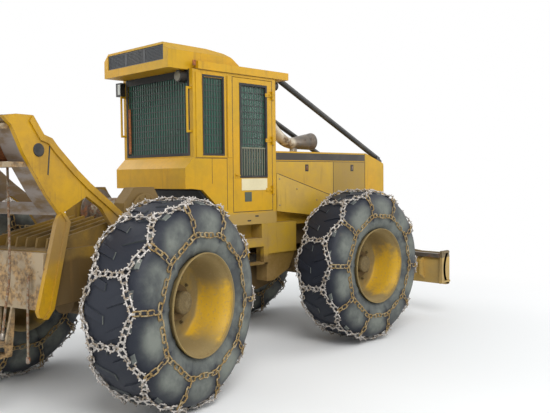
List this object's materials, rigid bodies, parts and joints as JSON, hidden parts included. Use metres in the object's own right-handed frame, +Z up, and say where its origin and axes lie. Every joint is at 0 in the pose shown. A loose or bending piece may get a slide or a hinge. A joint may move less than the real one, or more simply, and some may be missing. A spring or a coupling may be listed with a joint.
{
  "type": "cable skidder",
  "caption": "Articulated four-wheel cable skidder with cab, engine hood, rear log arch with winch and fairlead, chained tyres and a front blade.",
  "frame": {"origin": "on the floor, under the middle of the machine as it stands, steered 15 degrees", "axes": "+X forward along the front half, +Y to its left, +Z up"},
  "size_m": [6.3888, 3.3185, 3.292],
  "materials": {
    "yellow": "weathered gloss",
    "worn": "dusty, worn",
    "black": "satin",
    "dark_plastic": "matt",
    "engine": "oily",
    "glass": "tinted",
    "rod": "polished",
    "bare": "worn bare, rusty",
    "tyre": "dusty",
    "seat": "worn",
    "pipe": "rusty, grey"
  },
  "bodies": {
    "front": {"front_frame": "worn", "front_axle": "worn", "engine_block": "engine", "hood": "yellow", "side_panels": "yellow", "lower_covers": "yellow", "grille": "black", "exhaust": "pipe", "limb_risers": "black", "cab_frame": "yellow", "cab_walls": "yellow", "cab_floor": "black", "cab_roof": "yellow", "roof_louvre": "dark_plastic", "cab_glass": "glass", "window_guards": "black", "seat": "seat", "console": "dark_plastic", "tanks": "yellow", "steps": "yellow", "lamps": "dark_plastic", "grab_handles": "yellow", "pivot_pins": "bare"},
    "rear": {"rear_frame": "worn", "rear_axle": "worn", "arch": "yellow", "winch_case": "worn", "butt_plate": "worn", "fairlead_frame": "worn"},
    "drum": {"winch_drum": "bare"},
    "top_roller": {"roller_top": "bare"},
    "left_roller": {"roller_left": "bare"},
    "right_roller": {"roller_right": "bare"},
    "right_door": {"door_right": "yellow", "door_screen_right": "glass"},
    "left_door": {"door_left": "yellow", "door_screen_left": "glass"},
    "blade_group": {"blade": "worn", "blade_arms": "worn"},
    "front_wheel_right": {"tyre_front_right": "tyre", "rim_front_right": "yellow"},
    "rear_wheel_right": {"tyre_rear_right": "tyre", "rim_rear_right": "yellow"},
    "front_wheel_left": {"tyre_front_left": "tyre", "rim_front_left": "yellow"},
    "rear_wheel_left": {"tyre_rear_left": "tyre", "rim_rear_left": "yellow"},
    "lift_cylinder_right": {"lift_barrel_right": "black"},
    "lift_ram_right": {"lift_rod_right": "rod"},
    "lift_cylinder_left": {"lift_barrel_left": "black"},
    "lift_ram_left": {"lift_rod_left": "rod"},
    "steer_cylinder_right": {"steer_barrel_right": "black"},
    "steer_ram_right": {"steer_rod_right": "rod"},
    "steer_cylinder_left": {"steer_barrel_left": "black"},
    "steer_ram_left": {"steer_rod_left": "rod"}
  },
  "joints": [
    {"name": "steering", "type": "hinge", "parent": "front", "child": "rear", "pos_m": [-0.36559, 0.26995, 0.904], "axis": [0, 0, 1], "range_deg": [-60, 30]},
    {"name": "spin_front_right", "type": "hinge", "parent": "front", "child": "front_wheel_right", "pos_m": [1.39141, -0.79005, 0.904], "axis": [0, 1, 0], "continuous": true},
    {"name": "spin_rear_right", "type": "hinge", "parent": "rear", "child": "rear_wheel_right", "pos_m": [-1.60678, -1.16002, 0.904], "axis": [-0.2588, 0.9659, 0], "continuous": true},
    {"name": "spin_front_left", "type": "hinge", "parent": "front", "child": "front_wheel_left", "pos_m": [1.39141, 1.32995, 0.904], "axis": [0, 1, 0], "continuous": true},
    {"name": "spin_rear_left", "type": "hinge", "parent": "rear", "child": "rear_wheel_left", "pos_m": [-2.15547, 0.88774, 0.904], "axis": [-0.2588, 0.9659, 0], "continuous": true},
    {"name": "door_swing_right", "type": "hinge", "parent": "front", "child": "right_door", "pos_m": [0.37641, -0.36705, 0.904], "axis": [0, 0, 1], "range_deg": [0, 95]},
    {"name": "door_swing_left", "type": "hinge", "parent": "front", "child": "left_door", "pos_m": [0.37641, 0.90695, 0.904], "axis": [0, 0, -1], "range_deg": [0, 95]},
    {"name": "blade_lift", "type": "hinge", "parent": "front", "child": "blade_group", "pos_m": [1.99441, 0.26995, 0.844], "axis": [0, -1, 0], "range_deg": [-30, 27]},
    {"name": "lift_pivot_right", "type": "hinge", "parent": "front", "child": "lift_cylinder_right", "pos_m": [2.32441, -0.30005, 1.504], "axis": [0, -1, 0], "range_deg": [-5, 5]},
    {"name": "lift_stroke_right", "type": "slide", "parent": "lift_cylinder_right", "child": "lift_ram_right", "axis": [-0.0027, 0, -1], "range_m": [-0.155, 0.17]},
    {"name": "lift_pivot_left", "type": "hinge", "parent": "front", "child": "lift_cylinder_left", "pos_m": [2.32441, 0.83995, 1.504], "axis": [0, -1, 0], "range_deg": [-5, 5]},
    {"name": "lift_stroke_left", "type": "slide", "parent": "lift_cylinder_left", "child": "lift_ram_left", "axis": [-0.0027, 0, -1], "range_m": [-0.155, 0.17]},
    {"name": "steer_pivot_right", "type": "hinge", "parent": "front", "child": "steer_cylinder_right", "pos_m": [0.33441, -0.09005, 1.014], "axis": [0, 0, 1], "range_deg": [-20, 10]},
    {"name": "steer_stroke_right", "type": "slide", "parent": "steer_cylinder_right", "child": "steer_ram_right", "axis": [-0.9997, -0.0237, 0], "range_m": [-0.165, 0.33]},
    {"name": "steer_pivot_left", "type": "hinge", "parent": "front", "child": "steer_cylinder_left", "pos_m": [0.33441, 0.62995, 1.014], "axis": [0, 0, 1], "range_deg": [-20, 10]},
    {"name": "steer_stroke_left", "type": "slide", "parent": "steer_cylinder_left", "child": "steer_ram_left", "axis": [-0.9896, -0.1437, 0], "range_m": [-0.33, 0.165]},
    {"name": "drum_turn", "type": "hinge", "parent": "rear", "child": "drum", "pos_m": [-1.4764, -0.02769, 1.624], "axis": [-0.2588, 0.9659, 0], "continuous": true},
    {"name": "top_roller_turn", "type": "hinge", "parent": "rear", "child": "top_roller", "pos_m": [-2.76108, -0.37192, 2.174], "axis": [-0.2588, 0.9659, 0], "continuous": true},
    {"name": "left_roller_turn", "type": "hinge", "parent": "rear", "child": "left_roller", "pos_m": [-2.99309, -0.2788, 2.204], "axis": [0, 0, 1], "continuous": true},
    {"name": "right_roller_turn", "type": "hinge", "parent": "rear", "child": "right_roller", "pos_m": [-2.91545, -0.56858, 2.204], "axis": [0, 0, 1], "continuous": true}
  ],
  "couplings": [
    {"joint": "lift_pivot_right", "follows": "blade_lift", "ratio": 0.12},
    {"joint": "lift_stroke_right", "follows": "blade_lift", "m_per_rad": -0.318},
    {"joint": "lift_pivot_left", "follows": "blade_lift", "ratio": 0.12},
    {"joint": "lift_stroke_left", "follows": "blade_lift", "m_per_rad": -0.318},
    {"joint": "steer_pivot_right", "follows": "steering", "ratio": 0.32},
    {"joint": "steer_stroke_right", "follows": "steering", "m_per_rad": -0.31},
    {"joint": "steer_pivot_left", "follows": "steering", "ratio": 0.32},
    {"joint": "steer_stroke_left", "follows": "steering", "m_per_rad": 0.31}
  ]
}
